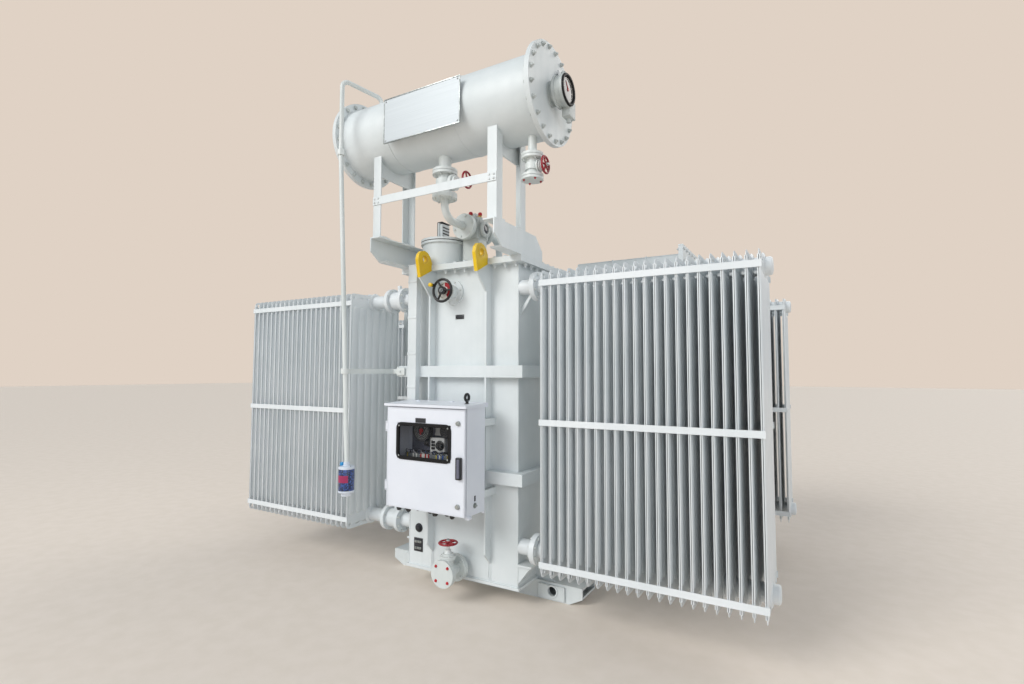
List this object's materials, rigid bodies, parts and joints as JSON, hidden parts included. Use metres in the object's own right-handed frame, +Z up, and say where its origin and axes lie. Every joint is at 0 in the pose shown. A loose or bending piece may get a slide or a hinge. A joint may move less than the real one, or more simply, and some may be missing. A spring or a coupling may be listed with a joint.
{
  "type": "power transformer",
  "caption": "Oil-filled power transformer: welded tank, plate radiators on both sides, cylindrical oil conservator on a stand, gas relay, control cabinet, breather and valves.",
  "frame": {"origin": "centre of the overall bounding box at floor level", "axes": "+X towards the right-hand radiators, +Y towards the rear of the tank, +Z up"},
  "size_m": [3.694, 2.591, 3.129],
  "materials": {
    "tank_paint": "satin light grey enamel",
    "radiator_paint": "satin light grey enamel",
    "cabinet_paint": "fine textured powder coat",
    "lug_yellow": "gloss enamel",
    "wheel_red": "gloss enamel",
    "wheel_black": "gloss enamel",
    "breather_blue": "clear cup of blue drying beads",
    "sign_aluminium": "bare brushed plate",
    "window_glass": "clear",
    "instrument_grey": "moulded cases on a mounting plate",
    "gauge_grey": "cast aluminium, painted"
  },
  "bodies": {
    "tank": {"base_rails": "tank_paint", "breather": "breather_blue", "breather_pipe": "tank_paint", "breather_stay": "tank_paint", "cabinet_brackets": "tank_paint", "cabinet_instruments": "instrument_grey", "cabinet_roof": "cabinet_paint", "cabinet_shell": "cabinet_paint", "cable_duct": "tank_paint", "conservator_covers": "tank_paint", "conservator_shell": "tank_paint", "drain_valve": "tank_paint", "end_bands": "tank_paint", "gas_relay": "tank_paint", "inspection_turret": "tank_paint", "lifting_lugs": "lug_yellow", "oil_level_gauge": "gauge_grey", "outlet_valve": "tank_paint", "pressure_vent": "tank_paint", "radiator_left_front": "radiator_paint", "radiator_left_rear": "radiator_paint", "radiator_necks": "radiator_paint", "radiator_right_front": "radiator_paint", "radiator_right_rear": "radiator_paint", "radiator_stubs": "tank_paint", "radiator_tie_bars": "radiator_paint", "radiator_valves": "tank_paint", "relay_pipes": "tank_paint", "saddle_frames": "tank_paint", "side_bands": "tank_paint", "side_trunks": "tank_paint", "sign_plate": "sign_aluminium", "stand_beams": "tank_paint", "stand_cross_bar": "tank_paint", "stub_brackets": "tank_paint", "sump_valve": "tank_paint", "tank_cover": "tank_paint", "tank_end_walls": "tank_paint", "tank_floor": "tank_paint", "tank_rim": "tank_paint", "tank_side_walls": "tank_paint", "tap_boss": "tank_paint", "trunk_blanks": "tank_paint", "wall_stiffeners": "tank_paint"},
    "door": {"cabinet_door": "cabinet_paint", "cabinet_glass": "window_glass"},
    "tap_handwheel": {"tap_wheel": "wheel_black"},
    "outlet_handwheel": {"outlet_wheel": "wheel_red"},
    "sump_handwheel": {"sump_wheel": "wheel_red"},
    "drain_handwheel": {"drain_wheel": "wheel_red"}
  },
  "joints": [
    {"name": "cabinet_door_hinge", "type": "hinge", "parent": "tank", "child": "door", "pos_m": [-0.212, -1.0725, 0.8495], "axis": [0, 0, -1], "range_deg": [0, 110]},
    {"name": "tap_wheel_turn", "type": "hinge", "parent": "tank", "child": "tap_handwheel", "pos_m": [0.033, -0.8715, 1.84], "axis": [0, 1, 0], "range_deg": [-120, 120]},
    {"name": "outlet_wheel_turn", "type": "hinge", "parent": "tank", "child": "outlet_handwheel", "pos_m": [0.273, -0.9595, 2.458], "axis": [1, 0, 0], "continuous": true},
    {"name": "sump_wheel_turn", "type": "hinge", "parent": "tank", "child": "sump_handwheel", "pos_m": [0.781, -0.9595, 2.448], "axis": [1, 0, 0], "continuous": true},
    {"name": "drain_wheel_turn", "type": "hinge", "parent": "tank", "child": "drain_handwheel", "pos_m": [0.113, -0.8945, 0.344], "axis": [0, 0, 1], "continuous": true}
  ]
}
